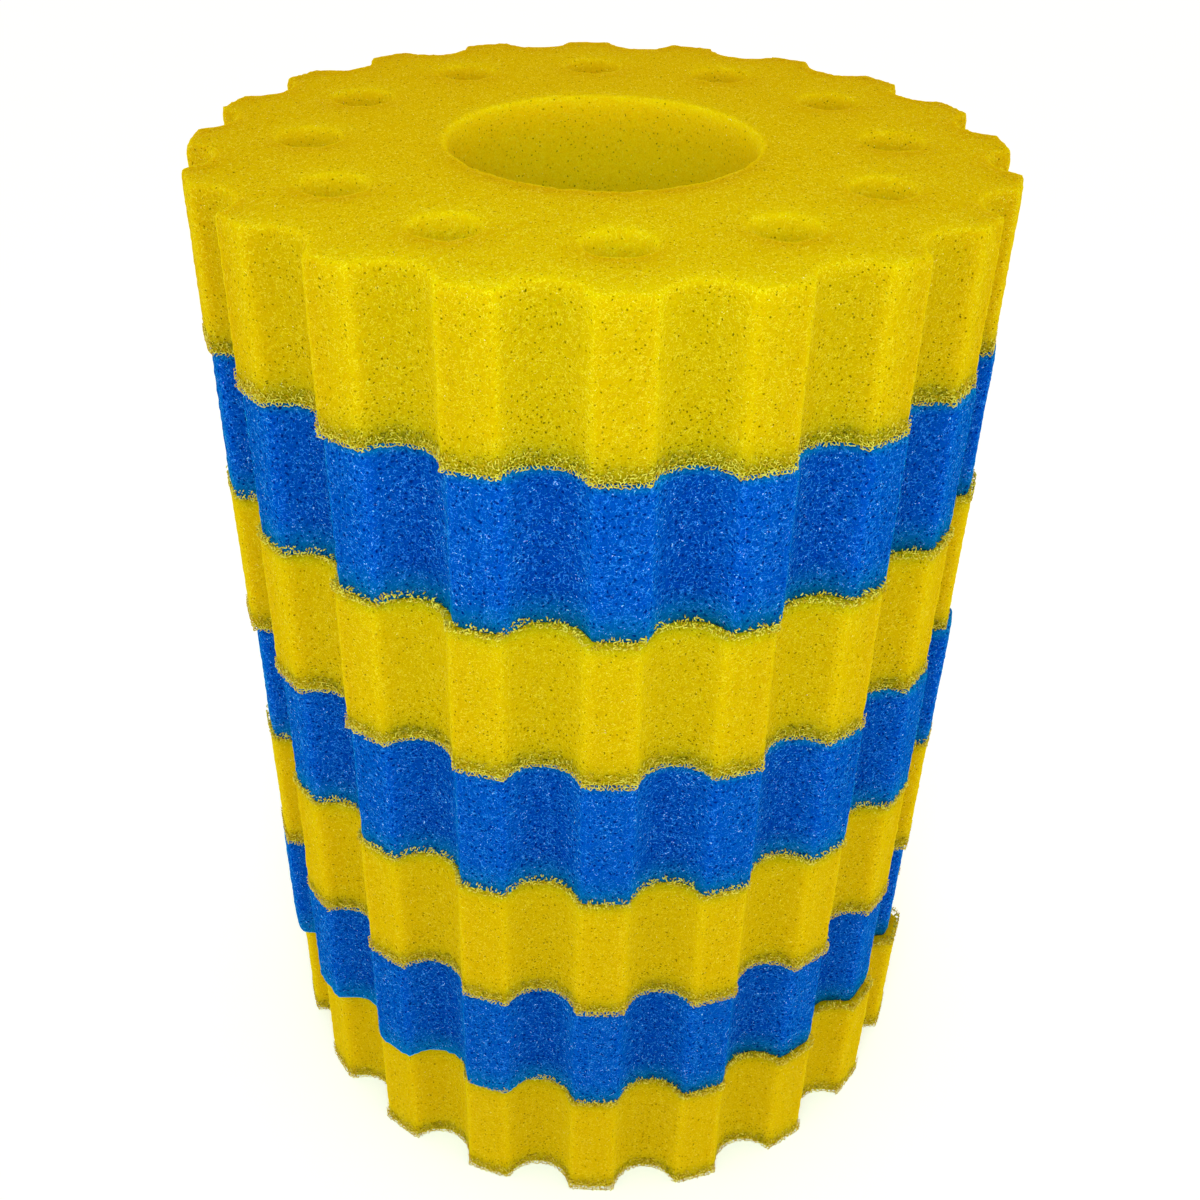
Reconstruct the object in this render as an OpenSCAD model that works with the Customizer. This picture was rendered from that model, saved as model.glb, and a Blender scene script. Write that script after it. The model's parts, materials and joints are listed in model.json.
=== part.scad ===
// Sponge filter: seven loose discs of open-cell foam, alternately yellow and blue,
// stacked on a common axis. The discs are cut from foam sheet with one and the same
// die, which gives them a fluted edge, a central bore and a ring of small channels.
// Millimetres, Z up, with the origin at the centre of the stack's bottom face.

/* [Discs] */
// Diameter of each disc, over the lobes of its edge
disc_d = 200; // [190:1:220]
// Thickness of the foam sheet that the discs are cut from
disc_t = 40; // [20:1:60]

/* [Flutes] */
// Number of flutes round the edge
flute_count = 20; // [12:1:24]
// Diameter of the round cutter that makes each flute
flute_d = 19.8; // [10:0.1:20]
// Distance that the middle of each flute's cutter lies outside the edge
flute_out = 2.8; // [0:0.1:4]

/* [Bore and channels] */
// Diameter of the central bore, which slides over the filter's tube
bore_d = 76; // [60:1:100]
// Number of small channels round the bore
channel_count = 12; // [6:1:12]
// Diameter of each small channel
channel_d = 15; // [8:0.5:18]
// Diameter of the circle that the channels lie on
channel_circle_d = 142; // [130:1:150]

/* [Hidden] */

yellow_foam = [0.88, 0.81, 0.06];
blue_foam = [0.02, 0.38, 0.74];

// How far a cutter runs past each face that it breaks through
overrun = 1;
cutter_t = disc_t + 2 * overrun;

flute_step = 360 / flute_count;
channel_step = 360 / channel_count;
flute_circle_r = disc_d / 2 + flute_out;
channel_circle_r = channel_circle_d / 2;

$fn = 96;

// A straight round cutter of diameter d, right through a disc that stands on Z = 0
module cutter(d) {
    translate([0, 0, -overrun])
        cylinder(h = cutter_t, d = d);
}

// The flutes lie half a step off the X axis, so that a lobe points along it
module flute_cutters() {
    for (i = [0 : flute_count - 1])
        rotate([0, 0, (i + 0.5) * flute_step])
            translate([flute_circle_r, 0, 0])
                cutter(flute_d);
}

// One channel lies on the X axis
module channel_cutters() {
    for (i = [0 : channel_count - 1])
        rotate([0, 0, i * channel_step])
            translate([channel_circle_r, 0, 0])
                cutter(channel_d);
}

// One die-cut disc, standing on Z = 0
module foam_disc() {
    difference() {
        cylinder(h = disc_t, d = disc_d);
        cutter(bore_d);
        flute_cutters();
        channel_cutters();
    }
}

// The disc at one level of the stack, counted up from 0 at the bottom
module disc_at(level, foam) {
    color(foam)
        translate([0, 0, level * disc_t])
            foam_disc();
}

module bottom_yellow_disc() { disc_at(0, yellow_foam); }
module lower_blue_disc() { disc_at(1, blue_foam); }
module lower_yellow_disc() { disc_at(2, yellow_foam); }
module middle_blue_disc() { disc_at(3, blue_foam); }
module upper_yellow_disc() { disc_at(4, yellow_foam); }
module upper_blue_disc() { disc_at(5, blue_foam); }
module top_yellow_disc() { disc_at(6, yellow_foam); }

bottom_yellow_disc();
lower_blue_disc();
lower_yellow_disc();
middle_blue_disc();
upper_yellow_disc();
upper_blue_disc();
top_yellow_disc();
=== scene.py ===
"""Sponge filter: seven loose discs of open-cell foam on one axis, yellow and blue in turn.

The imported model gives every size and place. Each disc is cut with one die, roughened to
the cell scale of its foam, and put down a little off the axis and a little turned, as a
stack put together by hand. The yellow discs are fringed with real struts along their cut
edges.
"""

import json
import logging
import math
from dataclasses import dataclass, field, replace
from enum import Enum
from functools import cached_property

import bpy
import numpy as np
from mathutils import Euler, Matrix, Vector


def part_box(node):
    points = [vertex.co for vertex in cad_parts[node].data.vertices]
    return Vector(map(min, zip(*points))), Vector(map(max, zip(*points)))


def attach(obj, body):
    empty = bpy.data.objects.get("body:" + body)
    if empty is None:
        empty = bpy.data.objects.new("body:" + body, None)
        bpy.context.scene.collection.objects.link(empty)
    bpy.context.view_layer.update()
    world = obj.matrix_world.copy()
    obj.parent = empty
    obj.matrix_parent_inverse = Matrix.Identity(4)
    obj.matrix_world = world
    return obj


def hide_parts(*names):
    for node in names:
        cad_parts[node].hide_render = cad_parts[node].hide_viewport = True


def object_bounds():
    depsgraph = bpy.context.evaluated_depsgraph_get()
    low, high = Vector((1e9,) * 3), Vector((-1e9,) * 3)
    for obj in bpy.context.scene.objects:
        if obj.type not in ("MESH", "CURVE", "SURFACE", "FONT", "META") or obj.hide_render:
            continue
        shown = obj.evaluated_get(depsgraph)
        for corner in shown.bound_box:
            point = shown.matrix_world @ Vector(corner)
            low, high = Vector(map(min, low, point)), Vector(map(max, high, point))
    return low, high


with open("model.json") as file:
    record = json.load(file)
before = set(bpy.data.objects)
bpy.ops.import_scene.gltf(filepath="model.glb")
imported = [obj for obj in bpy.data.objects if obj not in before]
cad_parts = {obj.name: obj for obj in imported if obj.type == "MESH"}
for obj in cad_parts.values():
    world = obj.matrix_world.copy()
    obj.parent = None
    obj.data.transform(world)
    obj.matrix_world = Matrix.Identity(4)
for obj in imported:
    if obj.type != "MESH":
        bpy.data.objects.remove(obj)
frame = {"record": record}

CAD_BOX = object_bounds()

MM = 0.001
LOG = logging.getLogger("sponge_filter")

Colour = tuple[float, float, float, float]


# --------------------------------------------------------------------------- shader maths


class Value:
    """A shader socket on which Python arithmetic adds Math nodes."""

    def __init__(self, recipe: "Recipe", socket: bpy.types.NodeSocket) -> None:
        """Wraps one output socket.

        Args:
            recipe: The recipe whose tree the socket is in.
            socket: The output socket.
        """
        self.recipe = recipe
        self.socket = socket

    def maths(self, operation: str, other: "Value | float") -> "Value":
        """Adds a Math node of this value and another.

        Args:
            operation: The Math node's operation.
            other: Its second input.

        Returns:
            The node's result.
        """
        return self.recipe.node("ShaderNodeMath", {"operation": operation}, {0: self, 1: other})

    def __add__(self, other: "Value | float") -> "Value":
        """This plus other."""
        return self.maths("ADD", other)

    __radd__ = __add__

    def __mul__(self, other: "Value | float") -> "Value":
        """This times other."""
        return self.maths("MULTIPLY", other)

    __rmul__ = __mul__

    def __sub__(self, other: "Value | float") -> "Value":
        """This minus other."""
        return self.maths("SUBTRACT", other)

    def __rsub__(self, other: float) -> "Value":
        """A number minus this."""
        return (self * -1.0) + other

    def rise(self, low: float, high: float) -> "Value":
        """A smooth step of this value.

        Args:
            low: Where the step starts, with the result 0.
            high: Where it ends, with the result 1.

        Returns:
            The step, from 0 to 1.
        """
        inputs = {"Value": self, "From Min": low, "From Max": high}
        return self.recipe.node("ShaderNodeMapRange", {"interpolation_type": "SMOOTHSTEP"}, inputs)

    def fall(self, low: float, high: float) -> "Value":
        """A smooth step from 1 at low down to 0 at high."""
        return 1.0 - self.rise(low, high)

    def sibling(self, output: str) -> "Value":
        """Another output of the same node."""
        return Value(self.recipe, self.socket.node.outputs[output])


class Recipe:
    """A material under construction, with one method for every kind of node."""

    def __init__(self, name: str) -> None:
        """Makes an empty material.

        Args:
            name: The material's name.
        """
        self.material = bpy.data.materials.new(name)
        self.material.use_nodes = True
        self.tree = self.material.node_tree
        self.tree.nodes.clear()

    def node(
        self,
        kind: str,
        settings: dict[str, object] | None = None,
        inputs: dict[int | str, object] | None = None,
        output: int | str = 0,
    ) -> Value:
        """Adds a node.

        Args:
            kind: The node's type.
            settings: Its own settings, which are set before its sockets.
            inputs: Values or links by socket name or number.
            output: The output to return, by name or number.

        Returns:
            That output.
        """
        made = self.tree.nodes.new(kind)
        for name, value in (settings or {}).items():
            setattr(made, name, value)
        for key, value in (inputs or {}).items():
            if isinstance(value, Value):
                self.tree.links.new(value.socket, made.inputs[key])
            else:
                made.inputs[key].default_value = value
        return Value(self, made.outputs[output])

    def place(self) -> Value:
        """The point's place on the piece."""
        return self.node("ShaderNodeTexCoord", output="Object")

    def attribute(self, name: str, output: str = "Fac") -> Value:
        """What the mesh stores on each point under a name."""
        return self.node("ShaderNodeAttribute", {"attribute_name": name}, output=output)

    def vectors(self, operation: str, *inputs: object) -> Value:
        """A Vector Math node of its inputs, in order."""
        return self.node("ShaderNodeVectorMath", {"operation": operation}, dict(enumerate(inputs)))

    def noise(self, where: Value, lump: float, detail: float, output: str = "Fac") -> Value:
        """Soft noise.

        Args:
            where: The place at which it is read.
            lump: The size of its lumps.
            detail: How many finer layers it has.
            output: Fac for a number, or Color for three.

        Returns:
            The noise, around 0.5.
        """
        inputs = {"Vector": where, "Scale": 1.0 / lump, "Detail": detail}
        return self.node("ShaderNodeTexNoise", inputs=inputs, output=output)

    def blend(self, a: object, b: object, share: Value) -> Value:
        """A colour between two others.

        Args:
            a: The colour where share is 0.
            b: The colour where share is 1.
            share: How much of b there is.

        Returns:
            The mixed colour.
        """
        mix_factor, mix_a, mix_b, mix_result = 0, 6, 7, 2
        inputs = {mix_factor: share, mix_a: a, mix_b: b}
        return self.node("ShaderNodeMix", {"data_type": "RGBA"}, inputs, mix_result)

    def finish(self, **inputs: object) -> bpy.types.Material:
        """Adds the surface shader and the output.

        Args:
            inputs: The Principled shader's inputs, with _ for each space.

        Returns:
            The finished material.
        """
        named = {name.replace("_", " "): value for name, value in inputs.items()}
        surface = self.node("ShaderNodeBsdfPrincipled", inputs=named)
        output = self.tree.nodes.new("ShaderNodeOutputMaterial")
        self.tree.links.new(surface.socket, output.inputs["Surface"])
        return self.material


def colour(red: float, green: float, blue: float) -> Colour:
    """A display colour, from 0 to 255, as a linear one.

    Args:
        red: The red part.
        green: The green part.
        blue: The blue part.

    Returns:
        The linear colour, with alpha 1.
    """
    def linear(part: float) -> float:
        """One part, by the standard display curve."""
        share = part / 255
        return share / 12.92 if share <= 0.04045 else ((share + 0.055) / 1.055) ** 2.4

    return (linear(red), linear(green), linear(blue), 1.0)


# ------------------------------------------------------------------------------- finishes


class Foam(Enum):
    """The two foams, by the record's material slots."""

    YELLOW = "yellow_foam"
    BLUE = "blue_foam"


@dataclass(frozen=True)
class FoamFinish:
    """The look of one open-cell foam: small dark cells and curled struts on a soft ground.

    Attributes:
        name: The material's name.
        cell: The size of a cell.
        body: The colour of the lobes and faces.
        painted_flute_shade: The colour deep in the flutes, painted shade darker than the body.
        painted_joint_shade_and_bounce: The colour near a cut edge that lies on another disc: painted shade
            on the yellow foam, and painted bounce light from the yellow on the blue.
        painted_bore_light: The colour inside the bore and the channels, painted light that is lighter than
            the body against their shade.
        pore: The colour of an open cell.
        strut: The colour of the struts in the surface.
        tip: The brightest colour of the loose struts.
        glint: The colour of the painted highlights on the few struts that shine.
        glow: How far red, green and blue light go into the foam, as shares of glow_reach.
        glow_reach: How far light goes into the foam.
        pore_width: The radius of an open cell's dark middle, in cells.
        closed: How much chance a cell needs before it opens.
        edge_pores: How much more the cells open right at the lower edge.
        flute_pores: How much more they open in the flutes and low down; the extra dark cells in the flutes
            are painted shade.
        strand_share: How strongly the struts in the surface show.
        edge_strands: How much more of them show right at the lower edge.
        mottle: How strong the fine dark mottle is.
        glint_from: How rare the painted highlights are, where 1 and more is nearly never.
        comb: How finely the lumps repeat along Y, as a share of X and Z, so that they are long.
        grain: The size of the finest lumps, in cells.
        curl: The size of the curls that struts follow, in cells.
        cloud: The size of the wide patches with more or fewer open cells, in cells.
        sway: How far the cells are bent out of their grid, in cells.
    """

    name: str
    cell: float
    body: Colour
    painted_flute_shade: Colour
    painted_joint_shade_and_bounce: Colour
    painted_bore_light: Colour
    pore: Colour
    strut: Colour
    tip: Colour
    glint: Colour
    glow: tuple[float, float, float]
    glow_reach: float
    pore_width: float
    closed: float
    edge_pores: float
    flute_pores: float
    strand_share: float
    edge_strands: float
    mottle: float
    glint_from: float
    comb: float = 0.5
    grain: float = 0.35
    curl: float = 0.8
    cloud: float = 9.0
    sway: float = 0.8

    @cached_property
    def skin(self) -> bpy.types.Material:
        """The cut surface of a disc."""
        return SkinRecipe(self).surface()

    @cached_property
    def strands(self) -> bpy.types.Material:
        """The loose struts along the cut edges."""
        recipe = Recipe(self.name + "_struts")
        tone = recipe.noise(recipe.place(), self.cell, detail=1.0)
        base = recipe.blend(self.body, self.tip, tone.rise(0.35, 0.65))
        return recipe.finish(Base_Color=base, Roughness=0.6, Specular_IOR_Level=0.1)


class SkinRecipe(Recipe):
    """The cut surface of a foam, made of layers that share a few noises and masks."""

    # Heights up the outer wall, as shares of the disc's thickness; some bound the painted shade and bounce
    # light near the next discs
    LOW = 0.5
    LOWEST = 0.14
    JOINT_SHADE_HEIGHT = 0.28
    UPPER_EDGE = 0.92

    # Noise lies around this value
    MIDDLE = 0.5

    # Lumps of the noise that bends the cells, for each cell
    BENDS = 0.9

    # How much the wide patches, the cell's chance and the grain shift what they act on
    PATCHES = 0.6
    CELL_CHANCE = 0.3
    RAGGED = 0.1

    # How slowly cells open as their chance grows, and how thin a strut is
    OPENING = 0.85
    STRUT_LINE = 0.003

    def __init__(self, foam: FoamFinish) -> None:
        """Reads where each point is, and makes what the layers share.

        Args:
            foam: The finish of the foam.
        """
        super().__init__(foam.name)
        self.foam = foam
        self.here = self.place()
        combed = self.vectors("MULTIPLY", self.here, (1.0, foam.comb, 1.0))
        self.grain = self.noise(combed, foam.grain * foam.cell, detail=1.0)
        self.curl = self.noise(combed, foam.curl * foam.cell, detail=1.0)
        self.cloud = self.noise(combed, foam.cloud * foam.cell, detail=2.0)
        self.above_edge = self.attribute("above_edge")
        self.in_flute = self.attribute("in_flute")
        self.near_edge = self.above_edge.fall(0.0, self.LOW)
        self.at_edge = self.above_edge.fall(0.0, self.LOWEST)

    def cells(self) -> tuple[Value, Value, Value]:
        """The foam's cells, bent out of their grid.

        Returns:
            The distance from the middle of the point's cell, in cells, and two chances that
            are the same all over a cell.
        """
        cell = self.foam.cell
        sway = self.foam.sway * cell
        lean = self.noise(self.here, cell / self.BENDS, detail=0.0, output="Color")
        centred = self.vectors("SUBTRACT", lean, (self.MIDDLE,) * 3)
        bent = self.vectors("MULTIPLY_ADD", centred, (sway, sway, sway), self.here)
        grid = {"Vector": bent, "Scale": 1.0 / cell}
        distance = self.node("ShaderNodeTexVoronoi", {"feature": "F1"}, grid, "Distance")
        cell_colour = {"Color": distance.sibling("Color")}
        chance = self.node("ShaderNodeSeparateColor", inputs=cell_colour, output="Red")
        return distance, chance, chance.sibling("Green")

    def pores(self, distance: Value, chance: Value) -> Value:
        """The dark middles of the open cells, more of them in the flutes and low down.

        Args:
            distance: The distance from the cell's middle, in cells.
            chance: A chance for each cell.

        Returns:
            The mask of the pores.
        """
        foam = self.foam
        # The extra dark cells in the flutes are painted shade; the extra ones low down are the foam's more
        # open cut edge.
        low_or_deep = self.near_edge * self.in_flute + self.near_edge * 0.5 + self.in_flute * 0.2
        patches = (self.cloud - self.MIDDLE) * self.PATCHES
        opening = chance + self.at_edge * foam.edge_pores + low_or_deep * foam.flute_pores + patches
        depth = opening.rise(foam.closed, foam.closed + self.OPENING)
        return distance.fall(foam.pore_width * 0.2, foam.pore_width) * depth

    def curls(self, pore: Value, chance: Value) -> tuple[Value, Value]:
        """The struts in the surface, along the lines where the curling noise is level.

        Args:
            pore: The mask of the pores, where no strut lies.
            chance: A chance for each cell.

        Returns:
            The mask of the struts, and the mask of the painted highlights on the few that shine.
        """
        foam = self.foam
        swing = self.curl - self.MIDDLE
        strand = (swing * swing).fall(0.0, self.STRUT_LINE) * (1.0 - pore)
        luck = self.grain + chance * self.CELL_CHANCE
        shown = (luck + self.at_edge * foam.edge_strands).rise(0.45, 0.75) * foam.strand_share
        return strand * shown, strand * luck.rise(foam.glint_from, foam.glint_from + 0.03)

    def ground(self) -> Value:
        """The colour between the pores and the struts, with painted light in the bore and the channels,
        painted shade in the flutes, and painted shade and bounce light near edges that lie on other discs.
        """
        foam = self.foam
        # Painted light: the bore and the channels are lighter than the body, against the shade inside
        # them.
        with_bore_light = self.blend(foam.body, foam.painted_bore_light, self.attribute("sheltered"))
        # Painted shade: the flutes are darker than the lobes, more so low down.
        with_flute_shade = self.blend(with_bore_light, foam.painted_flute_shade, self.in_flute * (0.6 + self.near_edge * 0.4))
        # Painted shade and bounce light near a cut edge that lies on another disc, ragged at the lower
        # edge and also under the disc above: darker on the yellow foam, greener on the blue.
        ragged = self.above_edge + (self.grain - self.MIDDLE) * self.RAGGED
        joint_shade_share = ragged.fall(0.0, self.JOINT_SHADE_HEIGHT) + self.above_edge.rise(self.UPPER_EDGE, 1.0)
        with_joint_shade = self.blend(with_flute_shade, foam.painted_joint_shade_and_bounce, joint_shade_share)
        return self.blend(with_joint_shade, foam.pore, self.grain.fall(0.3, 0.55) * foam.mottle)

    def relief(self, pore: Value) -> Value:
        """The fine relief, on normals that turn slowly over rims.

        Args:
            pore: The mask of the pores, which lie deeper.

        Returns:
            The bumped normal.
        """
        inputs = {
            "Strength": 0.5,
            "Distance": 0.25 * self.foam.cell,
            "Height": self.grain - pore,
            "Normal": self.attribute("soft_normal", "Vector"),
        }
        return self.node("ShaderNodeBump", inputs=inputs)

    def surface(self) -> bpy.types.Material:
        """Lays the layers on each other.

        Returns:
            The finished material.
        """
        foam = self.foam
        distance, opening_chance, strand_chance = self.cells()
        pore = self.pores(distance, opening_chance)
        strands, painted_glints = self.curls(pore, strand_chance)
        base = self.blend(self.blend(self.ground(), foam.pore, pore), foam.strut, strands)
        # The glints are painted highlights on a few struts.
        return self.finish(
            Base_Color=self.blend(base, foam.glint, painted_glints),
            Roughness=0.85,
            Normal=self.relief(pore),
            Specular_IOR_Level=0.0,
            Subsurface_Weight=1.0,
            Subsurface_Radius=foam.glow,
            Subsurface_Scale=foam.glow_reach,
        )


YELLOW_FINISH = FoamFinish(
    name="yellow_foam_skin",
    cell=0.95 * MM,
    body=colour(209, 170, 1),
    painted_flute_shade=colour(202, 166, 1),
    painted_joint_shade_and_bounce=colour(194, 166, 4),
    painted_bore_light=colour(240, 200, 1),
    pore=colour(100, 86, 0),
    strut=colour(245, 226, 60),
    tip=colour(250, 232, 90),
    glint=colour(255, 250, 210),
    glow=(1.0, 0.9, 0.1),
    glow_reach=8 * MM,
    pore_width=0.34,
    closed=0.26,
    edge_pores=0.4,
    flute_pores=0.9,
    strand_share=0.4,
    edge_strands=0.4,
    mottle=0.1,
    glint_from=1.0,
)
BLUE_FINISH = FoamFinish(
    name="blue_foam_skin",
    cell=1.2 * MM,
    body=colour(0, 78, 180),
    painted_flute_shade=colour(0, 54, 152),
    painted_joint_shade_and_bounce=colour(0, 104, 170),
    painted_bore_light=colour(0, 90, 195),
    pore=colour(0, 32, 116),
    strut=colour(50, 140, 235),
    tip=colour(0, 120, 200),
    glint=colour(170, 205, 255),
    glow=(0.1, 0.5, 1.0),
    glow_reach=6 * MM,
    pore_width=0.44,
    closed=-0.3,
    edge_pores=-0.3,
    flute_pores=0.1,
    strand_share=0.65,
    edge_strands=-0.1,
    mottle=0.2,
    glint_from=0.91,
)
FINISHES = {Foam.YELLOW: YELLOW_FINISH, Foam.BLUE: BLUE_FINISH}


# ----------------------------------------------------------------------------- modelling


def only(obj: bpy.types.Object) -> None:
    """Deselects everything and makes one object selected and active."""
    bpy.ops.object.select_all(action="DESELECT")
    obj.select_set(True)
    bpy.context.view_layer.objects.active = obj


def apply_modifier(obj: bpy.types.Object, kind: str, **settings: object) -> None:
    """Adds a modifier to an object and applies it.

    Args:
        obj: The object.
        kind: The modifier's type.
        settings: The modifier's settings.
    """
    only(obj)
    modifier = obj.modifiers.new(kind.lower(), kind)
    for name, value in settings.items():
        setattr(modifier, name, value)
    bpy.ops.object.modifier_apply(modifier=modifier.name)


def points_of(mesh: bpy.types.Mesh) -> np.ndarray:
    """The mesh's points, one row each."""
    found = np.empty(len(mesh.vertices) * 3, np.float32)
    mesh.vertices.foreach_get("co", found)
    return found.reshape(-1, 3).astype(float)


def normals_of(mesh: bpy.types.Mesh) -> np.ndarray:
    """The normals at the mesh's points, one row each."""
    found = np.empty(len(mesh.vertices) * 3, np.float32)
    mesh.vertex_normals.foreach_get("vector", found)
    return found.reshape(-1, 3).astype(float)


def ramp(values: np.ndarray, zero: float, one: float) -> np.ndarray:
    """A straight ramp of each value.

    Args:
        values: The values.
        zero: The value from which the result is 0.
        one: The value from which it is 1, above or below zero.

    Returns:
        The results, from 0 to 1.
    """
    return np.clip((values - zero) / (one - zero), 0, 1)


def store(mesh: bpy.types.Mesh, name: str, values: np.ndarray) -> None:
    """Stores one number or one vector on each point of a mesh.

    Args:
        mesh: The mesh.
        name: The attribute's name.
        values: The numbers, or the vectors with one row each.
    """
    kind, field_name = ("FLOAT", "value") if values.ndim == 1 else ("FLOAT_VECTOR", "vector")
    stored = mesh.attributes.new(name, kind, "POINT")
    stored.data.foreach_set(field_name, values.astype(np.float32).ravel())


def soft_normals(mesh: bpy.types.Mesh, rounds: int, share: float) -> np.ndarray:
    """Normals that turn slowly over rims, because light goes some way through the foam.

    Args:
        mesh: An even mesh.
        rounds: How many times each normal takes in its neighbours.
        share: How much of the result is softened.

    Returns:
        One unit normal for each point.
    """
    plain = normals_of(mesh)
    count = len(plain)
    ends = np.empty(len(mesh.edges) * 2, np.int32)
    mesh.edges.foreach_get("vertices", ends)
    a, b = ends.reshape(-1, 2).T
    number = np.bincount(ends, minlength=count)[:, None]
    soft = plain
    for _ in range(rounds):
        sums = [np.bincount(a, soft[b, i], count) + np.bincount(b, soft[a, i], count) for i in range(3)]
        soft = (soft + np.stack(sums, axis=1) / number) / 2
    mixed = (1 - share) * plain + share * soft / np.linalg.norm(soft, axis=1, keepdims=True)
    return mixed / np.linalg.norm(mixed, axis=1, keepdims=True)


def raised(flat: np.ndarray, height: float) -> np.ndarray:
    """Rows of X and Y with a height added to each."""
    return np.column_stack([flat, np.full(len(flat), height)])


@dataclass(frozen=True)
class CutEdge:
    """A closed line where the blade left the foam, with two directions at each point."""

    points: np.ndarray
    out: np.ndarray
    beyond: np.ndarray

    @property
    def length(self) -> float:
        """The length of the whole line."""
        steps = np.diff(self.points, axis=0, append=self.points[:1])
        return float(np.linalg.norm(steps, axis=1).sum())


@dataclass(frozen=True)
class Die:
    """The die that every disc is cut with, standing on Z = 0.

    Attributes:
        radius: The radius over the lobes.
        thickness: The thickness of the foam sheet.
        bore_radius: The radius of the central bore.
        channel_radius: The radius of a channel.
        channel_circle: The distance of the channels from the axis.
        channel_count: How many channels there are.
        flute_count: How many flutes the edge has.
        flute_radius: The radius of a flute.
        flute_out: How far outside the edge a flute's centre is.
        shelter_fade: How far in from a rim the bore and channels count as sheltered.
        covered_rim: The width of the bevel on a rim that lies on another disc or the floor.
        open_rim: The width of the bevel on a rim that nothing covers.
        voxel: The size of the even mesh's faces.
        smoothing: How many times the even mesh is smoothed.
        soft_rounds: How far the soft normals reach, in faces taken in.
        soft_share: How much of the normals is softened.
        line_step: The distance between the points of the cut edge.
        sides: The number of sides of a cutter.
    """

    radius: float
    thickness: float
    bore_radius: float
    channel_radius: float
    channel_circle: float
    channel_count: int
    flute_count: int = 20
    flute_radius: float = 9.9 * MM
    flute_out: float = 2.8 * MM
    shelter_fade: float = 2 * MM
    covered_rim: float = 0.4 * MM
    open_rim: float = 3.2 * MM
    voxel: float = 1.25 * MM
    rough_voxel: float = 2.4 * MM
    smoothing: int = 6
    soft_rounds: int = 60
    soft_share: float = 0.95
    line_step: float = 0.25 * MM
    sides: int = 96

    @classmethod
    def from_frame(cls, node: str) -> "Die":
        """Reads the die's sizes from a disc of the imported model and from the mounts.

        Args:
            node: A disc's node.

        Returns:
            The die.
        """
        low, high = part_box(node)
        mounts = {m["name"]: m["dims"] for m in frame["record"]["mounts"]}
        bore, ring = mounts["central_bore"], mounts["channel_ring"]
        return cls(
            radius=(high[0] - low[0]) / 2,
            thickness=high[2] - low[2],
            bore_radius=bore["r_mm"] * MM,
            channel_radius=ring["hole_r_mm"] * MM,
            channel_circle=ring["pcd_mm"] * MM / 2,
            channel_count=int(ring["count"]),
        )

    @property
    def flute_circle(self) -> float:
        """Distance of the flutes' centres from the axis."""
        return self.radius + self.flute_out

    @property
    def flute_half_mouth(self) -> float:
        """Half the angle, seen from the axis, that a flute takes of the edge."""
        r, d = self.radius, self.flute_circle
        return math.acos((r * r + d * d - self.flute_radius**2) / (2 * r * d))

    @property
    def flute_depth(self) -> float:
        """How far a flute reaches in from the edge."""
        return self.flute_radius - self.flute_out

    def cutter(self, radius: float, reach: float, angle: float) -> bpy.types.Object:
        """One round cutter, longer than the disc is thick.

        Args:
            radius: The cutter's radius.
            reach: The distance of its middle from the axis.
            angle: The direction of its middle from the axis.

        Returns:
            The cutter.
        """
        place = (reach * math.cos(angle), reach * math.sin(angle), self.thickness / 2)
        bpy.ops.object.select_all(action="DESELECT")
        bpy.ops.mesh.primitive_cylinder_add(
            vertices=self.sides, radius=radius, depth=2 * self.thickness, location=place
        )
        return bpy.context.object

    def cutters(self) -> bpy.types.Object:
        """All the cutters of the die, as one object.

        Returns:
            The joined cutters.
        """
        flute_step = math.tau / self.flute_count
        channel_step = math.tau / self.channel_count
        made = [self.cutter(self.bore_radius, 0.0, 0.0)]
        for i in range(self.flute_count):
            made.append(self.cutter(self.flute_radius, self.flute_circle, (i + 0.5) * flute_step))
        for i in range(self.channel_count):
            made.append(self.cutter(self.channel_radius, self.channel_circle, i * channel_step))
        only(made[0])
        for piece in made:
            piece.select_set(True)
        bpy.ops.object.join()
        return made[0]

    def round_rims(self, disc: bpy.types.Object, height: float, size: float) -> None:
        """Bevels the edges between the walls and one of the cut faces.

        Args:
            disc: The disc.
            height: The face's height.
            size: The width of the bevel.
        """
        only(disc)
        mesh = disc.data
        near, steep = 0.1 * MM, 0.5
        at_level = [abs(v.co.z - height) < near for v in mesh.vertices]
        walls = (face for face in mesh.polygons if abs(face.normal.z) < steep)
        upright = {tuple(sorted(key)) for wall in walls for key in wall.edge_keys}
        bpy.ops.object.mode_set(mode="EDIT")
        bpy.ops.mesh.select_mode(type="EDGE")
        bpy.ops.mesh.select_all(action="DESELECT")
        bpy.ops.object.mode_set(mode="OBJECT")
        for edge in mesh.edges:
            a, b = edge.vertices
            edge.select = at_level[a] and at_level[b] and tuple(sorted((a, b))) in upright
        bpy.ops.object.mode_set(mode="EDIT")
        bpy.ops.mesh.bevel(offset=size, segments=2, affect="EDGES", clamp_overlap=True)
        bpy.ops.object.mode_set(mode="OBJECT")

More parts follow.
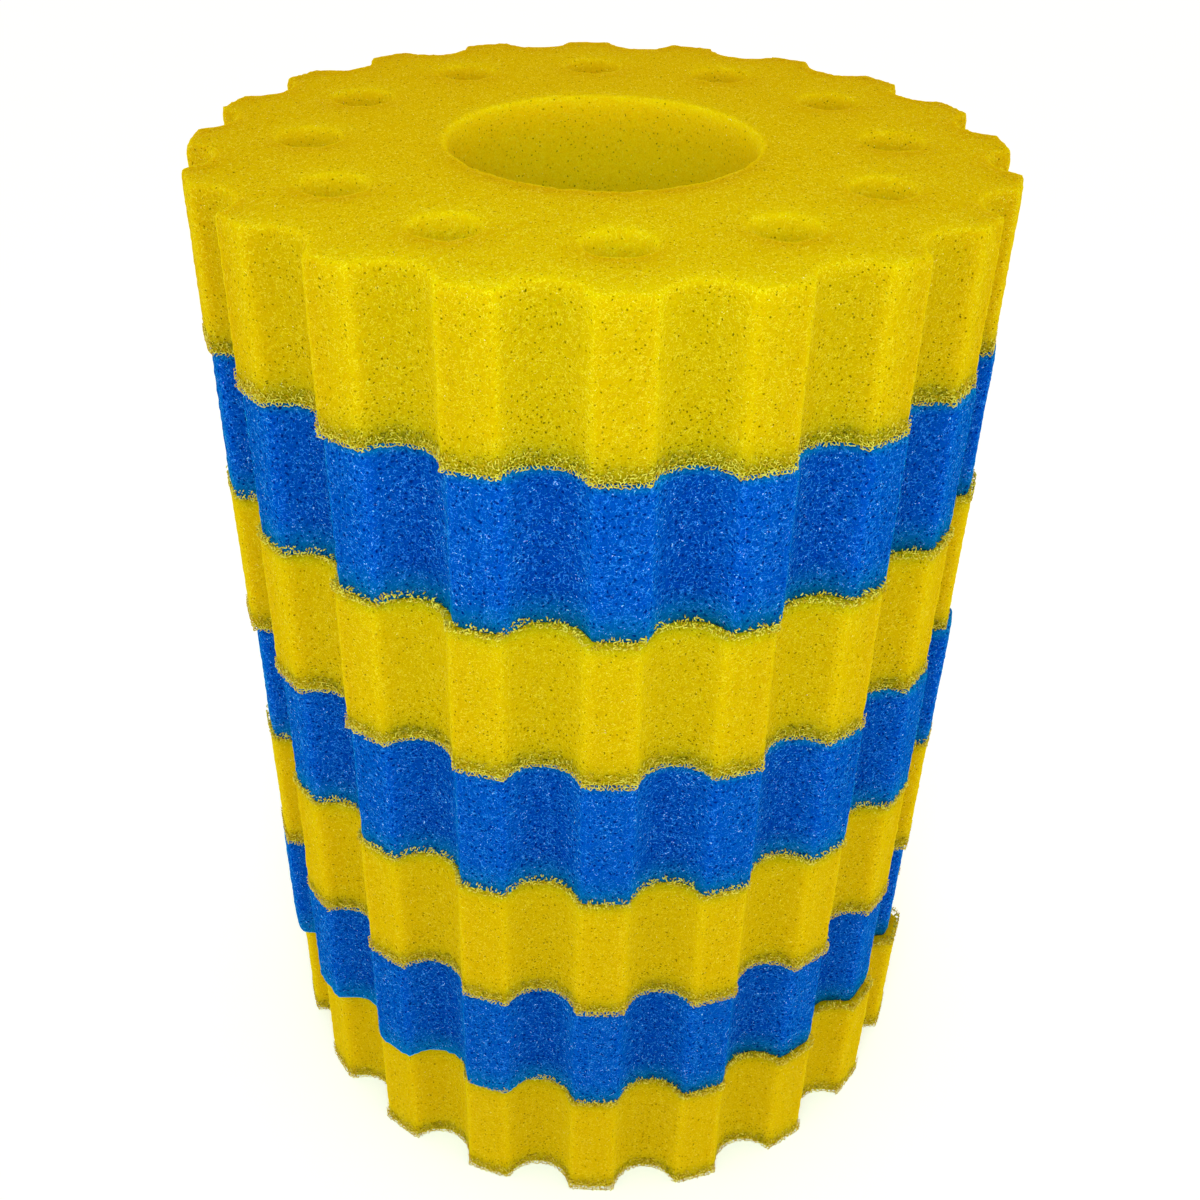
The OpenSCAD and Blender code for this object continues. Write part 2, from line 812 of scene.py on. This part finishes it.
    def cut(self, upper_rim: float) -> bpy.types.Object:
        """Cuts one clean disc and gives it an even mesh at about the foam's cell size.

        Args:
            upper_rim: How round the rims of its upper face are.

        Returns:
            The disc, standing on Z = 0.
        """
        cutters = self.cutters()
        bpy.ops.object.select_all(action="DESELECT")
        bpy.ops.mesh.primitive_cylinder_add(
            vertices=3 * self.sides,
            radius=self.radius,
            depth=self.thickness,
            location=(0, 0, self.thickness / 2),
        )
        disc = bpy.context.object
        bpy.ops.object.transform_apply(location=True, rotation=True, scale=True)
        apply_modifier(disc, "BOOLEAN", operation="DIFFERENCE", object=cutters, solver="EXACT")
        bpy.data.objects.remove(cutters)
        self.round_rims(disc, 0.0, self.covered_rim)
        self.round_rims(disc, self.thickness, upper_rim)
        voxel = self.voxel
        apply_modifier(disc, "REMESH", mode="VOXEL", voxel_size=voxel)
        apply_modifier(disc, "SMOOTH", factor=0.5, iterations=self.smoothing)
        store(disc.data, "soft_normal", soft_normals(disc.data, self.soft_rounds, self.soft_share))
        # Where the painted light inside the bore and the channels goes.
        store(disc.data, "sheltered", self.shelter(points_of(disc.data)))
        return disc

    def shelter(self, points: np.ndarray) -> np.ndarray:
        """How far each point is inside the bore or a channel.

        Args:
            points: Points of the clean disc.

        Returns:
            For each point, 0 outside and on the rims, and 1 from a little way in.
        """
        reach = np.hypot(points[:, 0], points[:, 1])
        step = math.tau / self.channel_count
        aside = ((np.arctan2(points[:, 1], points[:, 0]) / step + 0.5) % 1.0 - 0.5) * step
        from_channel = np.hypot(reach * np.cos(aside) - self.channel_circle, reach * np.sin(aside))
        in_bore = self.bore_radius + self.shelter_fade - reach
        in_channel = self.channel_radius + 0.5 * self.shelter_fade - from_channel
        return np.clip(np.maximum(in_bore, in_channel) / self.shelter_fade, 0, 1)

    def outline(self, step: float) -> tuple[np.ndarray, np.ndarray]:
        """The fluted edge as a closed line.

        Args:
            step: The distance between its points.

        Returns:
            The points in XY and their outward normals.
        """
        half, pitch = self.flute_half_mouth, math.tau / self.flute_count
        half_lobe = pitch / 2 - half
        corner_x = self.radius * math.cos(half) - self.flute_circle
        sweep = math.atan2(self.radius * math.sin(half), -corner_x)
        lobe = np.linspace(-half_lobe, half_lobe, round(2 * half_lobe * self.radius / step))
        flute = np.linspace(math.pi + sweep, math.pi - sweep, round(2 * sweep * self.flute_radius / step))
        lobe_out = np.stack([np.cos(lobe), np.sin(lobe)], axis=1)
        flute_out = -np.stack([np.cos(flute), np.sin(flute)], axis=1)
        lobe_line = lobe_out * self.radius
        flute_line = (self.flute_circle, 0.0) - flute_out * self.flute_radius
        points, normals = [], []
        for i in range(self.flute_count):
            for line, out, at in ((lobe_line, lobe_out, i), (flute_line, flute_out, i + 0.5)):
                c, s = math.cos(at * pitch), math.sin(at * pitch)
                turn = np.array([[c, s], [-s, c]])
                points.append(line[:-1] @ turn)
                normals.append(out[:-1] @ turn)
        return np.concatenate(points), np.concatenate(normals)

    def edge(self, height: float, side: float) -> CutEdge:
        """The fluted edge of one of a disc's faces.

        Args:
            height: The face's height.
            side: 1 for an upper face, and -1 for a lower one.

        Returns:
            The edge.
        """
        points, normals = self.outline(self.line_step)
        return CutEdge(raised(points, height), raised(normals, 0.0), raised(np.zeros_like(points), side))


@dataclass(frozen=True)
class Lace:
    """A net of foam struts that stands out along a cut edge, like a ragged fringe.

    Attributes:
        cell: The width of a cell of the net.
        overhang: How far the net reaches past the edge.
        rows: How many rows of cells it has, counted from its outer side.
        lost_share: The share of struts that are missing at the edge itself.
        thinning: How much more are missing further from the edge, where 1 leaves none at last.
        strut_radius: The radius of a strut.
        proud: How far the net stands off the wall.
        stray: How far a knot is astray along the wall, in cells.
        depth_stray: How far it is astray off the wall, in cells.
        tie: How deep the ties go into the foam.
    """

    cell: float
    overhang: float
    rows: int
    lost_share: float
    thinning: float
    strut_radius: float = 0.12 * MM
    proud: float = 0.1 * MM
    stray: float = 0.36
    depth_stray: float = 0.25
    tie: float = 1.1 * MM

    def knots(
        self, edge: CutEdge, along: np.ndarray, inside: np.ndarray, draw: np.random.Generator
    ) -> tuple[np.ndarray, np.ndarray]:
        """Places knots of the net, each a little astray.

        Args:
            edge: The cut edge.
            along: Each knot's distance along the edge.
            inside: Its distance from the edge, towards the foam.
            draw: The source of chance.

        Returns:
            The knots' places, and the outward direction at each.
        """
        count = len(edge.points)
        along = along + draw.uniform(-1, 1, along.shape) * self.stray * self.cell
        inside = inside + draw.uniform(-1, 1, along.shape) * self.stray * self.cell
        out = self.proud + draw.uniform(-1, 1, along.shape) * self.depth_stray * self.cell
        at = np.round(along / edge.length * count).astype(int) % count
        place = edge.points[at] + edge.out[at] * out[..., None] - edge.beyond[at] * inside[..., None]
        return place, edge.out[at]

    def net(self, edge: CutEdge, draw: np.random.Generator) -> tuple[np.ndarray, np.ndarray]:
        """The struts of a honeycomb along the edge, with a tie from each cell into the foam.

        Args:
            edge: The cut edge.
            draw: The source of chance.

        Returns:
            The struts' starts and ends.
        """
        count = round(edge.length / self.cell)
        pitch = edge.length / count
        row, place = np.mgrid[0 : self.rows, 0:count]
        along = (place + 0.5 * (row % 2)) * pitch
        inside = row * pitch * math.sqrt(3) / 2 - self.overhang
        tops, out = self.knots(edge, along, inside + pitch / math.sqrt(3), draw)
        sides, _ = self.knots(edge, along + pitch / 2, inside + pitch / (2 * math.sqrt(3)), draw)
        under = np.where((row[1:, :, None] % 2) == 1, np.roll(tops[:-1], -1, axis=1), tops[:-1])
        away = np.abs(inside) / np.abs(inside).max()
        lost = self.lost_share + (1 - self.lost_share) * self.thinning * away
        pairs = [
            (tops, sides, lost),
            (tops, np.roll(sides, 1, axis=1), lost),
            (sides[1:], under, lost[1:]),
            (tops, tops - out * self.tie, lost),
        ]
        starts = np.concatenate([pair[0].reshape(-1, 3) for pair in pairs])
        ends = np.concatenate([pair[1].reshape(-1, 3) for pair in pairs])
        kept = draw.random(len(starts)) > np.concatenate([pair[2].ravel() for pair in pairs])
        return starts[kept], ends[kept]

    def build(self, name: str, edge: CutEdge, draw: np.random.Generator) -> bpy.types.Object:
        """Makes the net, with each strut a thin three-sided bar.

        Args:
            name: The object's name.
            edge: The cut edge.
            draw: The source of chance.

        Returns:
            The net as one mesh object.
        """
        starts, ends = self.net(edge, draw)
        way = ends - starts
        way /= np.linalg.norm(way, axis=1, keepdims=True)
        slanted = [0.37, 0.61, 0.7]
        aside = np.cross(way, slanted)
        aside /= np.linalg.norm(aside, axis=1, keepdims=True)
        across = np.cross(way, aside)
        rings = []
        for end in (starts, ends):
            for corner in range(3):
                turn = math.tau * corner / 3
                spoke = aside * math.cos(turn) + across * math.sin(turn)
                rings.append(end + spoke * self.strut_radius)
        points = np.stack(rings, axis=1).reshape(-1, 3)
        first = np.arange(len(starts))[:, None] * 6
        quads = np.concatenate([first + side for side in ([0, 1, 4, 3], [1, 2, 5, 4], [2, 0, 3, 5])])
        caps = np.concatenate([first + cap for cap in ([0, 2, 1], [3, 4, 5])])
        mesh = bpy.data.meshes.new(name)
        mesh.from_pydata(points.tolist(), [], quads.tolist() + caps.tolist())
        made = bpy.data.objects.new(name, mesh)
        bpy.context.collection.objects.link(made)
        return made


LOWER_HEM = Lace(cell=0.85 * MM, overhang=0.8 * MM, rows=8, lost_share=0.1, thinning=1.0)
UPPER_BITS = Lace(
    cell=0.75 * MM,
    overhang=3.2 * MM,
    rows=5,
    lost_share=0.45,
    thinning=0.7,
    strut_radius=0.17 * MM,
    proud=0.3 * MM,
)


@dataclass
class FoamDisc:
    """One loose disc of the stack.

    Attributes:
        node: The disc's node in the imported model.
        foam: What it is cut from.
        off: How far it lies off the axis, in X and Y.
        turn: How far it is turned, in degrees.
        roughness: The relief of the broken cells.
        waviness: The height of the slow waves of the cut.
        wave_length: The length of those waves.
        press: How far it is pressed into the next disc.
        made: The finished disc.
    """

    node: str
    foam: Foam
    off: tuple[float, float]
    turn: float
    roughness: float = 0.55 * MM
    waviness: float = 0.5 * MM
    wave_length: float = 30 * MM
    press: float = 0.4 * MM
    made: bpy.types.Object | None = field(default=None, repr=False)

    @property
    def finish(self) -> FoamFinish:
        """The finish of this disc's foam."""
        return FINISHES[self.foam]

    @property
    def bottom(self) -> float:
        """Height of the disc's lower face."""
        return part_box(self.node)[0][2]

    @property
    def pressed(self) -> tuple[float, float]:
        """How far the disc is pressed into the one below and the one above it."""
        low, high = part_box(self.node)
        below = self.press if low[2] > CAD_BOX[0][2] + MM else 0.0
        above = self.press if high[2] < CAD_BOX[1][2] - MM else 0.0
        return below, above

    def roughen(self, disc: bpy.types.Object) -> None:
        """Gives the cut faces the relief of broken cells and a slight waviness.

        Args:
            disc: The disc, already at its own height.
        """
        cells = bpy.data.textures.new(self.node + "_cells", "CLOUDS")
        cells.noise_scale = self.finish.cell
        cells.noise_depth = 1
        waves = bpy.data.textures.new(self.node + "_waves", "CLOUDS")
        waves.noise_scale = self.wave_length
        for texture, strength in ((waves, self.waviness), (cells, self.roughness)):
            apply_modifier(
                disc, "DISPLACE", texture=texture, texture_coords="LOCAL", strength=strength, mid_level=0.5
            )

    def note_places(self, disc: bpy.types.Object, die: Die) -> None:
        """Stores on each point how far it is up the outer wall and how deep in a flute.

        The height is a share of the thickness. Where no cut edge lies on another disc, which is
        all over the faces and the bore and on the stack's upper rim, it is held at a value that
        gets none of the painted shade and bounce light of such an edge.

        Args:
            disc: The disc at its own height, before it is put off the axis.
            die: The die it was cut with.
        """
        points = points_of(disc.data)
        reach = np.hypot(points[:, 0], points[:, 1])
        angle = np.arctan2(points[:, 1], points[:, 0])
        pitch = math.tau / die.flute_count
        from_flute = np.abs((angle / pitch) % 1.0 - 0.5) * pitch
        flat, steep = 0.8125, 0.1875
        upright = ramp(np.abs(normals_of(disc.data)[:, 2]), flat, steep)
        outside, deep = 1.2, 0.2
        inside = ramp(from_flute / die.flute_half_mouth, outside, deep) * upright
        smooth_inside = inside * inside * (3 - 2 * inside)
        edge_from = die.radius - 1.3 * die.flute_depth
        on_edge = ramp(reach, edge_from, edge_from + 0.2 * die.flute_depth)
        # A share up the wall that gets none of the painted shade and bounce light near another disc.
        no_joint_shade = 0.9
        highest = 1 if self.pressed[1] else no_joint_shade
        share_up = np.clip((points[:, 2] - self.bottom) / die.thickness, 0, highest)
        store(disc.data, "in_flute", smooth_inside * on_edge)
        store(disc.data, "above_edge", np.where(on_edge > 0, share_up, no_joint_shade))

    def fringe(self, disc: bpy.types.Object, die: Die, seed: int) -> None:
        """Joins the struts that stand out along the edges to the disc.

        Args:
            disc: The disc at its own height.
            die: The die it was cut with.
            seed: The seed of the struts' irregularity.
        """
        draw = np.random.default_rng(seed)
        pressed_below, pressed_above = self.pressed
        hem = LOWER_HEM if pressed_below else replace(LOWER_HEM, overhang=0.0)
        nets = [hem.build(self.node + "_hem", die.edge(self.bottom, -1.0), draw)]
        if pressed_above:
            upper_edge = die.edge(self.bottom + die.thickness, 1.0)
            nets.append(UPPER_BITS.build(self.node + "_bits", upper_edge, draw))
        for net in nets:
            self.dress(net)
            net.data.polygons.foreach_set("material_index", [1] * len(net.data.polygons))
        only(disc)
        for net in nets:
            net.select_set(True)
        bpy.ops.object.join()

    def dress(self, piece: bpy.types.Object) -> None:
        """Gives a piece the foam's two materials, the skin and the loose struts."""
        piece.data.materials.append(self.finish.skin)
        piece.data.materials.append(self.finish.strands)

    def build(self, blank: bpy.types.Object, die: Die, seed: int) -> bpy.types.Object:
        """Makes this disc from a copy of the clean one.

        Args:
            blank: The clean disc, standing on Z = 0.
            die: The die it was cut with.
            seed: The seed of this disc's irregularity.

        Returns:
            The finished disc.
        """
        disc = blank.copy()
        disc.data = blank.data.copy()
        disc.name = disc.data.name = self.node.replace("_disc", "_foam")
        bpy.context.collection.objects.link(disc)
        press_below, press_above = self.pressed
        stretch = (die.thickness + press_below + press_above) / die.thickness
        lift = Matrix.Translation((0, 0, self.bottom - press_below))
        disc.data.transform(lift @ Matrix.Diagonal((1, 1, stretch, 1)))
        self.roughen(disc)
        self.note_places(disc, die)
        self.dress(disc)
        if self.foam is Foam.YELLOW:
            self.fringe(disc, die, seed)
        moved = Matrix.Translation((*self.off, 0.0)) @ Matrix.Rotation(math.radians(self.turn), 4, "Z")
        disc.data.transform(moved)
        only(disc)
        bpy.ops.object.shade_smooth()
        self.made = disc
        return disc

    def attach(self) -> None:
        """Puts the finished disc on its body, in place of its plain solid."""
        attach(self.made, self.node)
        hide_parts(self.node)


# -------------------------------------------------------------------------------- studio


@dataclass(frozen=True)
class SoftBox:
    """One square soft box.

    Attributes:
        place: Where it hangs.
        aim: The point that it faces.
        size: The side of its square.
        power: Its power in watts.
        tint: Its colour.
        spread: How wide its light opens, in degrees.
    """

    place: tuple[float, float, float]
    aim: tuple[float, float, float]
    size: float
    power: float
    tint: tuple[float, float, float]
    spread: float

    def hang(self, name: str) -> None:
        """Hangs the soft box under a name."""
        data = bpy.data.lights.new(name, "AREA")
        data.shape = "SQUARE"
        data.size = self.size
        data.energy = self.power
        data.spread = math.radians(self.spread)
        data.color = self.tint
        light = bpy.data.objects.new(name, data)
        bpy.context.collection.objects.link(light)
        light.location = self.place
        toward = Vector(self.aim) - Vector(self.place)
        light.rotation_euler = toward.to_track_quat("-Z", "Y").to_euler()


@dataclass(frozen=True)
class Studio:
    """The floor, the light and the camera round the stack.

    Attributes:
        front_box: The one soft box, in front of the stack.
        floor_size: The side of the floor.
        floor_colour: The floor's colour.
        floor_glow: The colour of the floor's own faint light.
        floor_glow_strength: How strong that light is.
        room_light: How bright the plain room is.
        room_tint: The colour of the room's light.
        camera_reach: The camera's distance from the axis.
        camera_turn: Its direction from the axis, in degrees from straight in front.
        camera_height: Its height.
        camera_pitch: How far it looks down, in degrees.
        camera_roll: How far it is tilted sideways, in degrees.
        lens: Its focal length, in millimetres.
        sensor: The width of its sensor, in millimetres.
    """

    front_box: SoftBox
    floor_size: float = 40.0
    floor_colour: Colour = (0.95, 0.95, 0.95, 1.0)
    floor_glow: Colour = (0.75, 0.92, 1.0, 1.0)
    floor_glow_strength: float = 0.42
    room_light: float = 0.8
    room_tint: Colour = (1.0, 0.85, 0.75, 1.0)
    camera_reach: float = 0.3467
    camera_turn: float = -1.67
    camera_height: float = 0.3812
    camera_pitch: float = 34.37
    camera_roll: float = 1.415
    lens: float = 42.33
    sensor: float = 36.0

    def floor(self) -> None:
        """Lays the plain pale floor."""
        bpy.ops.object.select_all(action="DESELECT")
        bpy.ops.mesh.primitive_plane_add(size=self.floor_size, location=(0, 0, 0))
        floor = bpy.context.object
        floor.name = "floor"
        pale = Recipe("pale_floor").finish(
            Base_Color=self.floor_colour,
            Roughness=0.9,
            Specular_IOR_Level=0.0,
            Emission_Color=self.floor_glow,
            Emission_Strength=self.floor_glow_strength,
        )
        floor.data.materials.append(pale)

    def room(self) -> None:
        """Surrounds everything with plain soft light."""
        room = bpy.data.worlds.new("pale_room")
        room.use_nodes = True
        background = room.node_tree.nodes["Background"]
        background.inputs["Color"].default_value = self.room_tint
        background.inputs["Strength"].default_value = self.room_light
        bpy.context.scene.world = room

    def camera(self) -> None:
        """Sets up the camera, in front of the stack and above it."""
        data = bpy.data.cameras.new("camera")
        data.sensor_width = self.sensor
        data.lens = self.lens
        data.clip_start = 0.01
        camera = bpy.data.objects.new("camera", data)
        bpy.context.collection.objects.link(camera)
        turn = math.radians(self.camera_turn)
        across, back = self.camera_reach * math.sin(turn), self.camera_reach * math.cos(turn)
        camera.location = (across, -back, self.camera_height)
        aim = Euler((math.radians(90 - self.camera_pitch), 0, turn)).to_matrix()
        roll = Matrix.Rotation(math.radians(self.camera_roll), 3, "Z")
        camera.rotation_euler = (aim @ roll).to_euler()
        bpy.context.scene.camera = camera

    def build(self) -> None:
        """Sets up the whole studio."""
        bpy.context.scene.view_settings.view_transform = "Standard"
        self.camera()
        self.floor()
        self.room()
        self.front_box.hang("front_box")


FRONT_BOX = SoftBox(
    place=(-0.02, -0.40, 0.46),
    aim=(0.0, -0.09, 0.85 * CAD_BOX[1][2]),
    size=0.2,
    power=0.22,
    tint=(0.5, 1.0, 0.9),
    spread=70.0,
)

# From the floor up, as the discs were put down
STACK = (
    FoamDisc("bottom_yellow_disc", Foam.YELLOW, off=(2.5 * MM, 0.2 * MM), turn=-2.15),
    FoamDisc("lower_blue_disc", Foam.BLUE, off=(0.0, 0.4 * MM), turn=-0.35),
    FoamDisc("lower_yellow_disc", Foam.YELLOW, off=(0.5 * MM, -0.6 * MM), turn=-0.4),
    FoamDisc("middle_blue_disc", Foam.BLUE, off=(0.8 * MM, -0.3 * MM), turn=-0.25),
    FoamDisc("upper_yellow_disc", Foam.YELLOW, off=(-0.7 * MM, -0.8 * MM), turn=0.6),
    FoamDisc("upper_blue_disc", Foam.BLUE, off=(-1.0 * MM, 0.6 * MM), turn=1.55),
    FoamDisc("top_yellow_disc", Foam.YELLOW, off=(-1.9 * MM, 0.4 * MM), turn=1.6),
)


def main() -> None:
    """Builds the stack and the studio."""
    logging.basicConfig(level=logging.INFO, format="%(name)s: %(message)s")
    Studio(FRONT_BOX).build()
    die = Die.from_frame(STACK[0].node)
    covered, uncovered = die.cut(die.covered_rim), die.cut(die.open_rim)
    for seed, disc in enumerate(STACK, start=1):
        made = disc.build(uncovered if disc is STACK[-1] else covered, die, seed)
        disc.attach()
        LOG.info("%s: %d faces", made.name, len(made.data.polygons))
    bpy.data.objects.remove(covered)
    bpy.data.objects.remove(uncovered)


if __name__ == "__main__":
    main()
